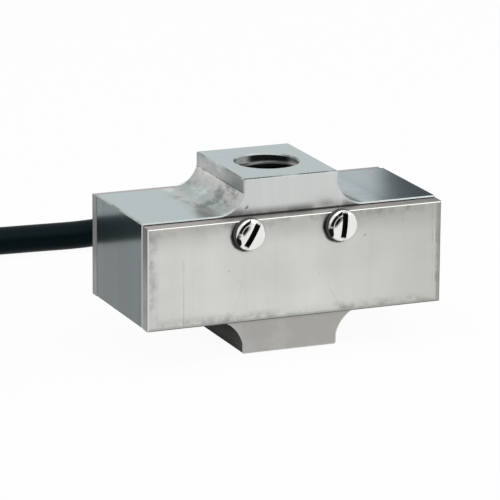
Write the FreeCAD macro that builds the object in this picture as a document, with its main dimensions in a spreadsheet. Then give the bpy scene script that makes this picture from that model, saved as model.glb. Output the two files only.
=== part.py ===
import FreeCAD, Part
import math
import os
import Sketcher
from FreeCAD import Placement, Rotation, Vector

# S-type load cell with its cable, in millimetres.
# The origin is the middle of the lower boss's end face, where the lower threaded hole opens.
# +Z is up, X runs along the beam, and Y runs from the front cover to the rear cover.

SIZES = (
    # the milled block
    ("beam_length", 59.6, "block between its end faces"),
    ("beam_depth", 23.6, "block between its front and rear faces"),
    ("beam_height", 20.0, "block between its shoulders"),
    ("boss_width", 19.1, "both bosses, along the beam"),
    ("top_boss_height", 6.65, "upper boss above the shoulder"),
    ("bottom_boss_height", 7.05, "lower boss below the block"),
    ("fillet_radius", 5.5, "hollow between the upper boss and its shoulder"),
    ("fillet_rise", 4.0, "height at which that hollow meets the boss's flat"),
    ("lower_fillet_radius", 6.6, "hollow between the lower boss and its shoulder"),
    ("lower_fillet_rise", 5.1, "depth at which that hollow meets the boss's flat"),
    ("edge_break", 0.25, "deburred edges of the block"),
    ("thread_diameter", 12.0, "M12 holes, at the root of the thread"),
    ("thread_mouth", 12.6, "countersunk mouth of the M12 holes"),
    ("thread_depth", 10.5, "full thread of the M12 holes"),
    ("drill_diameter", 10.2, "tapping drill of the M12 holes"),
    ("drill_depth", 12.0, "tapping drill to the start of its point"),
    ("drill_point", 1.5, "height of the drill's point"),
    ("bore_radius", 6.5, "gauge bores through the block"),
    ("bore_offset", 17.0, "gauge bore from the middle of the block"),
    ("slot_height", 3.0, "slot that joins the gauge bores"),
    # covers, gaskets and their screws
    ("cover_thickness", 2.5, "cover plate"),
    ("cover_top_step", 0.4, "cover's top edge below the shoulder"),
    ("cover_end_step", 0.1, "cover's end inside the block's end"),
    ("cover_edge_break", 0.25, "chamfer round a cover's outer face"),
    ("gasket_thickness", 0.25, "sheet gasket"),
    ("gasket_inset", 0.5, "gasket's edge inside the cover's edge"),
    ("gasket_window", 0.3, "gasket's windows beyond the bores and slot"),
    ("screw_diameter", 3.0, "M3 cover screw"),
    ("screw_length", 8.0, "cover screw under its head"),
    ("screw_pitch", 18.6, "the two screws of a cover"),
    ("screw_shift", -0.45, "the pair's middle along the beam"),
    ("screw_drop", 3.0, "screws below the shoulder of the block"),
    ("screw_hole_depth", 6.5, "tapped hole in the block"),
    ("thread_gap", 0.05, "round a screw in its tapped hole"),
    ("clearance_gap", 0.2, "round a screw in the cover and gasket"),
    ("head_diameter", 6.1, "pan head"),
    ("head_side", 0.9, "straight side of the pan head"),
    ("head_round", 1.0, "rounded rim of the pan head"),
    ("head_height", 2.1, "pan head at its crown"),
    ("slot_width", 1.1, "screwdriver slot"),
    ("slot_depth", 1.1, "screwdriver slot"),
    ("point_break", 0.4, "chamfer at a screw's point"),
    # strain gauges, wiring and potting
    ("gauge_thickness", 0.2, "foil gauge with its coating"),
    ("gauge_width", 6.0, "foil gauge across the beam"),
    ("gauge_arc", 50.0, "foil gauge round the bore, in degrees"),
    ("bond_line", 0.03, "glue under a gauge and round the potting"),
    ("potting_length", 16.0, "potting along the bore"),
    ("board_length", 13.0, "terminal board along the beam"),
    ("board_width", 18.0, "terminal board across the beam"),
    ("board_thickness", 0.8, "terminal board"),
    ("chip_length", 2.0, "trim resistor"),
    ("chip_width", 1.2, "trim resistor"),
    ("chip_height", 0.6, "trim resistor"),
    ("chip_pitch", 3.0, "trim resistors along the board"),
    ("wire_diameter", 0.4, "gauge wire"),
    ("wire_pitch", 1.3, "gauge wires across the beam"),
    ("core_diameter", 1.0, "cable core in the housing"),
    ("core_pitch", 1.1, "cores where they reach the board"),
    ("core_spread", 1.7, "cores in the cut end of the jacket"),
    # cable gland
    ("gland_thread", 8.0, "M8 shank of the gland"),
    ("gland_gap", 0.05, "round the shank, and between the gland's turned parts"),
    ("gland_hex", 11.0, "gland flange across flats"),
    ("gland_flange", 2.6, "gland flange thickness"),
    ("gland_nose_diameter", 9.2, "threaded nose of the gland"),
    ("gland_nose", 3.6, "threaded nose beyond the flange"),
    ("locknut_hex", 10.0, "lock nut across flats"),
    ("locknut_thickness", 2.4, "lock nut"),
    ("shank_end", 0.4, "shank beyond the lock nut"),
    ("seal_diameter", 7.6, "rubber seal"),
    ("seal_length", 2.8, "rubber seal"),
    ("seal_proud", 0.3, "seal beyond the nose"),
    ("nut_hex", 12.0, "clamp nut across flats"),
    ("nut_length", 6.4, "clamp nut"),
    ("nut_gap", 0.2, "between the flange and the clamp nut"),
    ("nut_crown", 1.2, "bevel at the clamp nut's end"),
    ("relief_length", 6.0, "rubber strain relief"),
    ("relief_foot", 8.6, "strain relief at the clamp nut"),
    ("relief_tip", 7.0, "strain relief at its free end"),
    # cable
    ("cable_diameter", 5.7, "round jacketed cable"),
    ("cable_gap", 0.05, "round the jacket in the gland"),
    ("coil_centre_x", -97.0, "put-away coil"),
    ("coil_centre_y", 30.0, "put-away coil"),
    ("coil_mean_radius", 31.4, "middle of the coil's turns"),
    ("coil_columns", 4, "turns side by side"),
    ("coil_layers", 3, "full layers, with half a layer on top"),
    ("tie_angle", 50.0, "direction of the tie from the coil's centre, in degrees"),
    ("tie_width", 3.6, "cable tie"),
    ("tie_thickness", 1.1, "cable tie"),
    ("tie_gap", 0.2, "between the tie and the coil"),
    ("tie_head", 5.0, "cube-like head of the tie"),
    ("end_angle", 230.0, "direction of the cable's far end from the coil's centre, in degrees"),
    ("sleeve_diameter", 6.5, "shrunk sleeve at the cable's far end"),
    ("sleeve_length", 12.0, "shrunk sleeve"),
    ("lead_diameter", 1.4, "insulated core at the far end"),
    ("lead_bare", 6.0, "tinned end of a core"),
    ("tip_diameter", 0.9, "tinned strands and drain wire"),
)

doc = FreeCAD.newDocument("load_cell")
sheet = doc.addObject("Spreadsheet::Sheet", "Sizes")
for row, (alias, value, meaning) in enumerate(SIZES, start=1):
    sheet.set(f"A{row}", alias)
    sheet.set(f"B{row}", str(value))
    sheet.set(f"C{row}", meaning)
    sheet.setAlias(f"B{row}", alias)
doc.recompute()


class Dim:
    """A size that knows both its number and the sheet expression that gives it."""

    def __init__(self, value, text):
        self.value = float(value)
        self.text = text

    @staticmethod
    def of(other):
        return other if isinstance(other, Dim) else Dim(other, repr(other))

    def __add__(self, other):
        other = Dim.of(other)
        return Dim(self.value + other.value, f"({self.text} + {other.text})")

    def __sub__(self, other):
        other = Dim.of(other)
        return Dim(self.value - other.value, f"({self.text} - {other.text})")

    def __mul__(self, other):
        other = Dim.of(other)
        return Dim(self.value * other.value, f"({self.text} * {other.text})")

    def __truediv__(self, other):
        other = Dim.of(other)
        return Dim(self.value / other.value, f"({self.text} / {other.text})")

    def __neg__(self):
        return Dim(-self.value, f"(-1 * {self.text})")

    def root(self):
        return Dim(math.sqrt(self.value), f"sqrt({self.text})")


def dim(alias):
    return Dim(sheet.get(alias), f"Sizes.{alias}")


ZERO = Dim(0.0, "0")
FRONT, REAR = -1, 1
parts = []


def bind(target, prop, size):
    target.setExpression(prop, size.text)


def finished(piece, name):
    """Gives a sub-part the name that its file gets."""
    piece.Label = name
    parts.append(piece)
    return piece


def new_body(name):
    return finished(doc.addObject("PartDesign::Body", name + "_body"), name)


def place(piece, x, y, z, rotation=Rotation()):
    """Puts a sub-part at a place that follows the sheet."""
    piece.Placement = Placement(Vector(x.value, y.value, z.value), rotation)
    for axis, size in (("x", x), ("y", y), ("z", z)):
        bind(piece, f"Placement.Base.{axis}", size)


# Sketches -----------------------------------------------------------------------------


def new_sketch(body, name, role="XZ_Plane", offset=ZERO):
    """A sketch on one of the body's origin planes, moved along that plane's normal."""
    sketch = body.newObject("Sketcher::SketchObject", name)
    plane = next(f for f in body.Origin.OriginFeatures if f.Role == role)
    sketch.AttachmentSupport = [(plane, "")]
    sketch.MapMode = "FlatFace"
    bind(sketch, "AttachmentOffset.Base.z", offset)
    return sketch


def pin(sketch, curve, point, x, y):
    """Fixes a point of a curve at x, y from the sketch's origin."""
    for kind, size, axis in (("DistanceX", x, -2), ("DistanceY", y, -1)):
        if abs(size.value) < 1e-9:
            sketch.addConstraint(Sketcher.Constraint("PointOnObject", curve, point, axis))
        elif size.value > 0:
            index = sketch.addConstraint(Sketcher.Constraint(kind, -1, 1, curve, point, size.value))
            bind(sketch, f"Constraints[{index}]", size)
        else:
            index = sketch.addConstraint(Sketcher.Constraint(kind, curve, point, -1, 1, -size.value))
            bind(sketch, f"Constraints[{index}]", -size)


def circle(sketch, x, y, radius):
    centre = Vector(x.value, y.value, 0)
    curve = sketch.addGeometry(Part.Circle(centre, Vector(0, 0, 1), radius.value))
    index = sketch.addConstraint(Sketcher.Constraint("Radius", curve, radius.value))
    bind(sketch, f"Constraints[{index}]", radius)
    pin(sketch, curve, 3, x, y)


def outline(sketch, corners, arcs=None):
    """A closed outline through the corners. arcs gives the centre and radius of the arc that
    leaves a corner, by the corner's number; every other side is straight."""
    arcs = arcs or {}
    ends = []
    for number, (x, y) in enumerate(corners):
        start = Vector(x.value, y.value, 0)
        next_x, next_y = corners[(number + 1) % len(corners)]
        end = Vector(next_x.value, next_y.value, 0)
        if number not in arcs:
            curve = sketch.addGeometry(Part.LineSegment(start, end))
            ends.append((curve, 1, 2))
            continue
        centre_x, centre_y, radius = arcs[number]
        centre = Vector(centre_x.value, centre_y.value, 0)
        angles = [math.atan2((p - centre).y, (p - centre).x) for p in (start, end)]
        sweep = (angles[1] - angles[0] + math.pi) % (2 * math.pi) - math.pi
        first, last = (angles[0], angles[0] + sweep) if sweep > 0 else (angles[1], angles[1] - sweep)
        around = Part.Circle(centre, Vector(0, 0, 1), radius.value)
        curve = sketch.addGeometry(Part.ArcOfCircle(around, first, last))
        index = sketch.addConstraint(Sketcher.Constraint("Radius", curve, radius.value))
        bind(sketch, f"Constraints[{index}]", radius)
        ends.append((curve, 1, 2) if sweep > 0 else (curve, 2, 1))
    for number, (curve, start, _) in enumerate(ends):
        before, _, end = ends[number - 1]
        sketch.addConstraint(Sketcher.Constraint("Coincident", before, end, curve, start))
        pin(sketch, curve, start, *corners[number])


def rectangle(sketch, left, right, low, high):
    outline(sketch, [(left, low), (right, low), (right, high), (left, high)])


def hexagon(sketch, flats):
    """A hexagon about the sketch's origin with two flats parallel to its X axis."""
    reach = flats / math.sqrt(3)
    half = flats / 2
    outline(sketch, [(reach, ZERO), (reach / 2, half), (-reach / 2, half),
                     (-reach, ZERO), (-reach / 2, -half), (reach / 2, -half)])


# Features -----------------------------------------------------------------------------


def add_pad(body, sketch, length, both_ways=False):
    pad = body.newObject("PartDesign::Pad", sketch.Name + "_pad")
    pad.Profile = sketch
    pad.SideType = "Symmetric" if both_ways else "One side"
    bind(pad, "Length", length)
    return pad


def add_revolution(body, sketch, angle=None):
    """Turns a sketch about its own vertical axis, all round or half of angle each way."""
    turned = body.newObject("PartDesign::Revolution", sketch.Name + "_turned")
    turned.Profile = sketch
    turned.ReferenceAxis = (sketch, ["V_Axis"])
    turned.Angle = 360
    if angle:
        turned.Midplane = True
        bind(turned, "Angle", angle)
    return turned


def add_cut(body, sketch, kind, **settings):
    """A Pocket or a Groove, which has to take material away."""
    doc.recompute()
    before = body.Shape.Volume
    cut = body.newObject("PartDesign::" + kind, sketch.Name + "_cut")
    cut.Profile = sketch
    if kind == "Groove":
        cut.ReferenceAxis = (sketch, ["V_Axis"])
        cut.Angle = 360
    for prop, setting in settings.items():
        if isinstance(setting, Dim):
            bind(cut, prop, setting)
        else:
            setattr(cut, prop, setting)
    doc.recompute()
    if body.Shape.Volume > before - 1e-6:
        raise RuntimeError(f"{cut.Name} takes nothing away")
    return cut


def add_chamfer(body, name, size, chosen):
    """Breaks the edges of the body's last feature that chosen accepts."""
    doc.recompute()
    base = body.Tip
    names = [f"Edge{i}" for i, edge in enumerate(base.Shape.Edges, start=1) if chosen(edge)]
    chamfer = body.newObject("PartDesign::Chamfer", name)
    chamfer.Base = (base, names)
    bind(chamfer, "Size", size)
    return chamfer


# Places that several pieces share ------------------------------------------------------

shoulder_low = dim("bottom_boss_height")
middle = shoulder_low + dim("beam_height") / 2
shoulder_high = shoulder_low + dim("beam_height")
crown = shoulder_high + dim("top_boss_height")
half_length = dim("beam_length") / 2
half_depth = dim("beam_depth") / 2
half_boss = dim("boss_width") / 2
cover_inner = half_depth + dim("gasket_thickness")
cover_outer = cover_inner + dim("cover_thickness")
screw_height = shoulder_high - dim("screw_drop")
screw_places = [dim("screw_shift") - dim("screw_pitch") / 2, dim("screw_shift") + dim("screw_pitch") / 2]
bore_places = {"left": -dim("bore_offset"), "right": dim("bore_offset")}
board_top = middle - dim("slot_height") / 2 + dim("board_thickness")


# Block: one piece, milled from bar, with the gauge bores and the slot that joins them wire-cut


def beam_outline(sketch):
    """The block from the front: two bosses, each with a hollow down to its shoulder."""
    broken = dim("edge_break")
    radius, rise = dim("fillet_radius"), dim("fillet_rise")
    low_radius, low_rise = dim("lower_fillet_radius"), dim("lower_fillet_rise")
    foot = half_boss + (radius * radius - (radius - rise) * (radius - rise)).root()
    low_foot = half_boss + (low_radius * low_radius - (low_radius - low_rise) * (low_radius - low_rise)).root()
    corners = [
        (half_boss - broken, ZERO), (half_boss, broken),
        (half_boss, shoulder_low - low_rise), (low_foot, shoulder_low),
        (half_length - broken, shoulder_low), (half_length, shoulder_low + broken),
        (half_length, shoulder_high - broken), (half_length - broken, shoulder_high),
        (foot, shoulder_high), (half_boss, shoulder_high + rise),
        (half_boss, crown - broken), (half_boss - broken, crown),
    ]
    corners += [(-x, z) for x, z in reversed(corners)]
    low, high = shoulder_low - low_radius, shoulder_high + radius
    arcs = {2: (low_foot, low, low_radius), 8: (foot, high, radius),
            14: (-foot, high, radius), 20: (-low_foot, low, low_radius)}
    outline(sketch, corners, arcs)


def add_threaded_hole(body, name, mouth, inwards):
    """A blind tapped hole on the Z axis, from its countersunk mouth to the drill's point."""
    thread, drill = dim("thread_diameter") / 2, dim("drill_diameter") / 2
    bevel = (dim("thread_mouth") - dim("thread_diameter")) / 2
    depths = [(dim("thread_mouth") / 2, ZERO), (thread, bevel), (thread, dim("thread_depth")),
              (drill, dim("thread_depth")), (drill, dim("drill_depth")),
              (ZERO, dim("drill_depth") + dim("drill_point"))]
    corners = [(ZERO, mouth)] + [(x, mouth + deep * inwards) for x, deep in depths]
    sketch = new_sketch(body, name)
    outline(sketch, corners)
    add_cut(body, sketch, "Groove")


def make_beam_body():
    body = new_body("beam_body")
    profile = new_sketch(body, "beam_profile")
    beam_outline(profile)
    broken = dim("edge_break")
    add_pad(body, profile, dim("beam_depth") - broken * 2, both_ways=True)
    for side, name in ((FRONT, "front_face"), (REAR, "rear_face")):
        face = new_sketch(body, name, offset=(half_depth - broken) * -side)
        beam_outline(face)
        bevel = add_pad(body, face, broken)
        bevel.Reversed = side == REAR
        bevel.TaperAngle = -45
    bores = new_sketch(body, "gauge_bores")
    for x in bore_places.values():
        circle(bores, x, middle, dim("bore_radius"))
    add_cut(body, bores, "Pocket", Type="ThroughAll", SideType="Symmetric")
    slot = new_sketch(body, "centre_slot")
    half_slot = dim("slot_height") / 2
    rectangle(slot, bore_places["left"], bore_places["right"], middle - half_slot, middle + half_slot)
    add_cut(body, slot, "Pocket", Type="ThroughAll", SideType="Symmetric")
    add_threaded_hole(body, "upper_thread", crown, -1)
    add_threaded_hole(body, "lower_thread", ZERO, 1)
    screw_holes = new_sketch(body, "cover_screw_holes", offset=half_depth)
    for x in screw_places:
        circle(screw_holes, x, screw_height, dim("screw_diameter") / 2 + dim("thread_gap"))
    front_holes = add_cut(body, screw_holes, "Pocket", Length=dim("screw_hole_depth"))
    rear_holes = body.newObject("PartDesign::Mirrored", "rear_screw_holes")
    rear_holes.Originals = [front_holes]
    rear_holes.MirrorPlane = (next(f for f in body.Origin.OriginFeatures if f.Role == "XZ_Plane"), [""])
    body.Tip = rear_holes


# Covers and gaskets: plates over the whole face, held to the upper half of the block only


def plate_edges(inset):
    """Left, right, lower and upper edges of a plate inside the cover's edges by inset."""
    end = half_length - dim("cover_end_step") - inset
    return -end, end, shoulder_low + inset, shoulder_high - dim("cover_top_step") - inset


def make_plate(name, side, inner, thickness, inset):
    """A plate whose inner face is inner from the middle of the block, with its screw holes."""
    body = new_body(name)
    offset = inner if side == FRONT else -(inner + thickness)
    profile = new_sketch(body, name + "_profile", offset=offset)
    rectangle(profile, *plate_edges(inset))
    add_pad(body, profile, thickness)
    holes = new_sketch(body, name + "_screw_holes")
    for x in screw_places:
        circle(holes, x, screw_height, dim("screw_diameter") / 2 + dim("clearance_gap"))
    add_cut(body, holes, "Pocket", Type="ThroughAll", SideType="Symmetric")
    return body


def make_cover(name, side):
    body = make_plate(name, side, cover_inner, dim("cover_thickness"), ZERO)

    def rim(edge):
        return edge.Length > 10 and all(abs(v.Y - side * cover_outer.value) < 0.01 for v in edge.Vertexes)

    add_chamfer(body, name + "_rim", dim("cover_edge_break"), rim)
    if side == REAR:
        hole = new_sketch(body, "gland_hole")
        circle(hole, bore_places["right"], middle, dim("gland_thread") / 2 + dim("gland_gap"))
        add_cut(body, hole, "Pocket", Type="ThroughAll", SideType="Symmetric")


def make_gasket(name, side):
    body = make_plate(name, side, half_depth, dim("gasket_thickness"), dim("gasket_inset"))
    windows = new_sketch(body, name + "_windows")
    for x in bore_places.values():
        circle(windows, x, middle, dim("bore_radius") + dim("gasket_window"))
    add_cut(body, windows, "Pocket", Type="ThroughAll", SideType="Symmetric")
    slot = new_sketch(body, name + "_slot")
    half_slot = dim("slot_height") / 2 + dim("gasket_window")
    rectangle(slot, bore_places["left"], bore_places["right"], middle - half_slot, middle + half_slot)
    add_cut(body, slot, "Pocket", Type="ThroughAll", SideType="Symmetric")


# Cover screws: slotted pan heads, each turned as tightening left it


def make_screw(name, x, side, slot_turn):
    """A screw whose shank runs down -Z from under its head, then faces front or rear."""
    body = new_body(name)
    shank, head = dim("screw_diameter") / 2, dim("head_diameter") / 2
    tip, side_height, height = dim("point_break"), dim("head_side"), dim("head_height")
    rounding, face = dim("head_round"), head - dim("head_round")
    rim_height = side_height + rounding
    dome = height - rim_height
    dome_radius = (face * face + dome * dome) / (dome * 2)
    end = -dim("screw_length")
    corners = [(ZERO, end), (shank - tip, end), (shank, end + tip), (shank, ZERO),
               (head, ZERO), (head, side_height), (face, rim_height), (ZERO, height)]
    profile = new_sketch(body, name + "_profile")
    outline(profile, corners, {5: (face, side_height, rounding), 6: (ZERO, height - dome_radius, dome_radius)})
    add_revolution(body, profile)
    slot = new_sketch(body, name + "_slot", "XY_Plane", offset=height)
    half = dim("slot_width") / 2
    rectangle(slot, -half, half, -head * 1.1, head * 1.1)
    add_cut(body, slot, "Pocket", Length=dim("slot_depth"))
    facing = Rotation(Vector(1, 0, 0), -90 * side) * Rotation(Vector(0, 0, 1), slot_turn)
    place(body, x, cover_outer * side, screw_height, facing)


# Strain gauges: foil patches on the thin walls above and below each gauge bore


def make_gauge(name, x, up):
    body = new_body(name)
    outer = dim("bore_radius") - dim("bond_line")
    half = dim("gauge_width") / 2
    section = new_sketch(body, name + "_section")
    rectangle(section, outer - dim("gauge_thickness"), outer, -half, half)
    add_revolution(body, section, dim("gauge_arc"))
    place(body, x, ZERO, middle, Rotation(Vector(0, 0, up), Vector(up, 0, 0), Vector(0, 1, 0), "XZY"))


# Terminal board: bonded to the lower half of the block, in the slot


def make_box(name, x, y, z, length, width, height):
    """A box centred on x and y, standing on z."""
    box = doc.addObject("Part::Box", name)
    for prop, size in (("Length", length), ("Width", width), ("Height", height)):
        bind(box, prop, size)
    place(box, x - length / 2, y - width / 2, z)
    return box


def make_terminal_board():
    floor = middle - dim("slot_height") / 2
    board = make_box("board", ZERO, ZERO, floor,
                     dim("board_length"), dim("board_width"), dim("board_thickness"))
    finished(board, "terminal_board")
    chips = [make_box(f"chip_{i}", dim("chip_pitch") * (i - 1), -dim("board_width") / 3, board_top,
                      dim("chip_width"), dim("chip_length"), dim("chip_height")) for i in range(3)]
    group = doc.addObject("Part::Compound", "chips")
    group.Links = chips
    finished(group, "trim_resistors")


# Tubes: wires, cores and the cable follow straight runs joined by tangent arcs


def point(x, y, z):
    return Vector(*(Dim.of(c).value for c in (x, y, z)))


def rounded_route(points):
    """The wire through the points, and the radius of its arc at each corner."""
    edges, radii = [], []
    start = points[0]
    for before, corner, after in zip(points, points[1:], points[2:]):
        back, ahead = before - corner, after - corner
        trim = 0.45 * min(back.Length, ahead.Length)
        turn = math.pi - back.getAngle(ahead)
        radius = trim / math.tan(turn / 2)
        back.normalize()
        ahead.normalize()
        inwards = (back + ahead).normalize()
        middle_of_arc = corner + inwards * (math.hypot(radius, trim) - radius)
        first, last = corner + back * trim, corner + ahead * trim
        edges.append(Part.LineSegment(start, first).toShape())
        edges.append(Part.Arc(first, middle_of_arc, last).toShape())
        radii.append(radius)
        start = last
    edges.append(Part.LineSegment(start, points[-1]).toShape())
    return Part.Wire(edges), radii


def tube(points, diameter):
    """A round bar along a rounded route, and the radii of the route."""
    route, radii = rounded_route(points)
    section = Part.Wire(Part.Circle(points[0], points[1] - points[0], diameter / 2).toShape())
    solid = route.makePipeShell([section], True, False)
    expected = route.Length * math.pi * diameter ** 2 / 4
    if abs(solid.Volume - expected) > 0.01 * expected:
        raise RuntimeError(f"tube volume {solid.Volume:.1f}, and its section times length is {expected:.1f}")
    return solid, radii


def tubes(name, routes, diameter):
    """One sub-part of one or more round bars."""
    solids = [tube(points, diameter.value)[0] for points in routes]
    piece = doc.addObject("Part::Feature", name + "_tubes")
    piece.Shape = solids[0] if len(solids) == 1 else Part.makeCompound(solids)
    return finished(piece, name)


def gauge_wire_route(x, up, y):
    """From the face of a gauge, through the bore and the slot, to the edge of the board."""
    side = math.copysign(1, x.value)
    radius = dim("wire_diameter") / 2
    gauge_face = dim("bore_radius") - dim("bond_line") - dim("gauge_thickness") - radius
    bend = dim("bore_radius") / 2
    landing = board_top + radius
    edge = (dim("board_length") / 2 - 1.5) * side
    return [
        point(x, y, middle + gauge_face * up),
        point(x - bend * side * 0.4, y, middle + bend * up),
        point(x - dim("bore_radius") * side, y, middle + radius * up),
        point(edge + bend * side * 1.2, y, landing + radius),
        point(edge, y, landing),
    ]


def make_gauge_wires(name, x):
    """Two wires from each of the two gauges in a bore, side by side."""
    pitch = dim("wire_pitch")
    inner, outer = pitch / 2, pitch * 1.5
    routes = [gauge_wire_route(x, 1, y) for y in (-inner, inner)]
    routes += [gauge_wire_route(x, -1, y) for y in (-outer, outer)]
    return tubes(name, routes, dim("wire_diameter"))


def core_routes():
    """Four cores from the cut end of the jacket to the right edge of the board."""
    x = bore_places["right"]
    half = dim("core_spread") / 2
    landing = board_top + dim("core_diameter") / 2
    nearest = dim("wire_pitch") * 1.5 + dim("core_diameter") + 0.15
    routes = []
    for number, (across, up) in enumerate(((-1, 1), (-1, -1), (1, 1), (1, -1))):
        y = nearest + dim("core_pitch") * (3 - number)
        routes.append([
            point(x + half * across, jacket_end, middle + half * up),
            point(x + half * across, y + 0.6, middle + half * up),
            point(dim("board_length") / 2 + 3.5, y, landing + 0.3),
            point(dim("board_length") / 2 - 1.5, y, landing),
        ])
    return routes


def make_potting(name, x, neighbours):
    """Soft compound that fills the middle of a gauge bore, round all that is in it."""
    length = dim("potting_length")
    fill = doc.addObject("Part::Cylinder", name + "_fill")
    bind(fill, "Radius", dim("bore_radius") - dim("bond_line"))
    bind(fill, "Height", length)
    place(fill, x, -length / 2, middle, Rotation(Vector(1, 0, 0), -90))
    held = doc.addObject("Part::Compound", name + "_held")
    held.Links = neighbours
    potting = doc.addObject("Part::Cut", name + "_cut")
    potting.Base = fill
    potting.Tool = held
    return finished(potting, name)


# Cable gland: turned and hexagonal parts on the axis of the right gauge bore -------------


def on_gland_axis(body):
    """Local Z points out of the rear cover, with Z = 0 on the cover's outer face."""
    place(body, bore_places["right"], cover_outer, middle, Rotation(Vector(1, 0, 0), -90))


gland_inner = -(dim("cover_thickness") + dim("locknut_thickness") + dim("shank_end"))
nose_end = dim("gland_flange") + dim("gland_nose")
nut_start = dim("gland_flange") + dim("nut_gap")
nut_end = nut_start + dim("nut_length")
seal_end = nose_end + dim("seal_proud")
seal_start = seal_end - dim("seal_length")
relief_end = nut_end + dim("relief_length")
jacket_hole = dim("cable_diameter") / 2 + dim("cable_gap")
jacket_end = cover_outer + gland_inner + 0.5
cable_start = cover_outer + relief_end


def add_bore(body, name, radius, low, high):
    """A round bore on the body's Z axis, between two heights."""
    sketch = new_sketch(body, name)
    rectangle(sketch, ZERO, radius, low, high)
    add_cut(body, sketch, "Groove")


def make_gland_body():
    body = new_body("gland_body")
    flange = new_sketch(body, "gland_flange_hex", "XY_Plane")
    hexagon(flange, dim("gland_hex"))
    add_pad(body, flange, dim("gland_flange"))
    turned = new_sketch(body, "gland_turned")
    shank, nose = dim("gland_thread") / 2, dim("gland_nose_diameter") / 2
    outline(turned, [(ZERO, gland_inner), (shank, gland_inner), (shank, ZERO),
                     (nose, ZERO), (nose, nose_end), (ZERO, nose_end)])
    add_revolution(body, turned)
    add_bore(body, "gland_bore", jacket_hole, gland_inner - 1, nose_end + 1)
    add_bore(body, "gland_seal_seat", dim("seal_diameter") / 2 + dim("gland_gap"), seal_start, nose_end + 1)
    on_gland_axis(body)


def make_ring(name, inner, outer, low, high):
    """A plain turned ring on the gland's axis."""
    body = new_body(name)
    section = new_sketch(body, name + "_section")
    rectangle(section, inner, outer, low, high)
    add_revolution(body, section)
    on_gland_axis(body)


def make_locknut():
    body = new_body("gland_locknut")
    start = -(dim("cover_thickness") + dim("locknut_thickness"))
    profile = new_sketch(body, "locknut_hexagon", "XY_Plane", offset=start)
    hexagon(profile, dim("locknut_hex"))
    add_pad(body, profile, dim("locknut_thickness"))
    add_bore(body, "locknut_thread", dim("gland_thread") / 2 + dim("gland_gap"), start - 1, ZERO)
    on_gland_axis(body)


def make_gland_nut():
    body = new_body("gland_nut")
    profile = new_sketch(body, "nut_hexagon", "XY_Plane", offset=nut_start)
    hexagon(profile, dim("nut_hex"))
    add_pad(body, profile, dim("nut_length"))
    crown_cut = new_sketch(body, "nut_crown_bevel")
    flat, corner = dim("nut_hex") / 2 - dim("nut_crown") / 2, dim("nut_hex") / math.sqrt(3) + 0.5
    outline(crown_cut, [(flat, nut_end), (corner, nut_end), (corner, nut_end - dim("nut_crown"))])
    add_cut(body, crown_cut, "Groove")
    thread = dim("gland_nose_diameter") / 2 + dim("gland_gap")
    add_bore(body, "nut_thread", thread, nut_start - 1, seal_end)
    add_bore(body, "nut_bore", jacket_hole, nut_start - 1, nut_end + 1)
    on_gland_axis(body)


def make_strain_relief():
    """A tapered rubber sleeve with two rings moulded round it."""
    body = new_body("strain_relief")
    profile = new_sketch(body, "relief_profile")
    foot, tip = dim("relief_foot") / 2, dim("relief_tip") / 2
    outline(profile, [(jacket_hole, nut_end), (foot, nut_end), (tip, relief_end), (jacket_hole, relief_end)])
    add_revolution(body, profile)
    for number in (1, 2):
        groove = new_sketch(body, f"relief_groove_{number}")
        height = nut_end + dim("relief_length") * number / 3
        waist = tip - (tip - jacket_hole) * 0.4
        half = dim("relief_length") / 16
        rectangle(groove, waist, foot + 1, height - half, height + half)
        add_cut(body, groove, "Groove")
    on_gland_axis(body)


# Cable: the stretch from the gland to the coil, the coil, its tie and its far end --------

CABLE_BENDS = (
    (17.0, 40.7, 17.05),
    (15.1, 51.3, 13.9),
    (10.0, 60.4, 9.5),
    (1.8, 67.0, 5.3),
    (-8.5, 70.8, 2.85),
    (-21.5, 71.9, 2.85),
    (-42.0, 73.2, 2.85),
    (-63.0, 73.2, 2.85),
    (-81.0, 71.6, 2.85),
)


coil_half = dim("cable_diameter") * dim("coil_columns") / 2
coil_inner = dim("coil_mean_radius") - coil_half
coil_outer = dim("coil_mean_radius") + coil_half
outer_turn = coil_outer - dim("cable_diameter") / 2
full_height = dim("cable_diameter") * dim("coil_layers")
top_height = full_height + dim("cable_diameter")


def make_cable_coil():
    """The coil's outer shape, with the top layer only on its inner half."""
    body = new_body("cable_coil")
    section = new_sketch(body, "coil_section")
    step = dim("coil_mean_radius")
    outline(section, [(coil_inner, ZERO), (coil_outer, ZERO), (coil_outer, full_height),
                      (step, full_height), (step, top_height), (coil_inner, top_height)])
    add_revolution(body, section)

    def rounded(edge):
        circle_edge = edge.Curve.TypeId == "Part::GeomCircle"
        return circle_edge and edge.BoundBox.ZMin > 1 and abs(edge.Curve.Radius - step.value) > 0.01

    add_chamfer(body, "coil_rounding", dim("cable_diameter") / 3, rounded)
    under_tie = new_sketch(body, "coil_under_tie", "XY_Plane")
    half = dim("tie_width") / 2 + dim("tie_gap")
    rectangle(under_tie, coil_inner - 1, coil_outer + 1, -half, half)
    add_cut(body, under_tie, "Pocket", Reversed=True, Length=dim("tie_thickness") + dim("tie_gap") / 2)
    on_coil(body)


def make_cable():
    """The free stretch, from the strain relief down to the floor and into the coil's outer turn."""
    start = point(bore_places["right"], cable_start, middle)
    end = point(dim("coil_centre_x"), dim("coil_centre_y") + outer_turn, dim("cable_diameter") / 2)
    bends = [Vector(*bend) for bend in CABLE_BENDS]
    solid, radii = tube([start, *bends, end], dim("cable_diameter").value)
    print("cable bend radii", [round(r, 1) for r in radii])
    run = doc.addObject("Part::Feature", "cable_run")
    run.Shape = solid
    cable = doc.addObject("Part::Cut", "cable_to_coil")
    cable.Base = run
    cable.Tool = by_label["cable_coil"]
    finished(cable, "cable")


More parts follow.
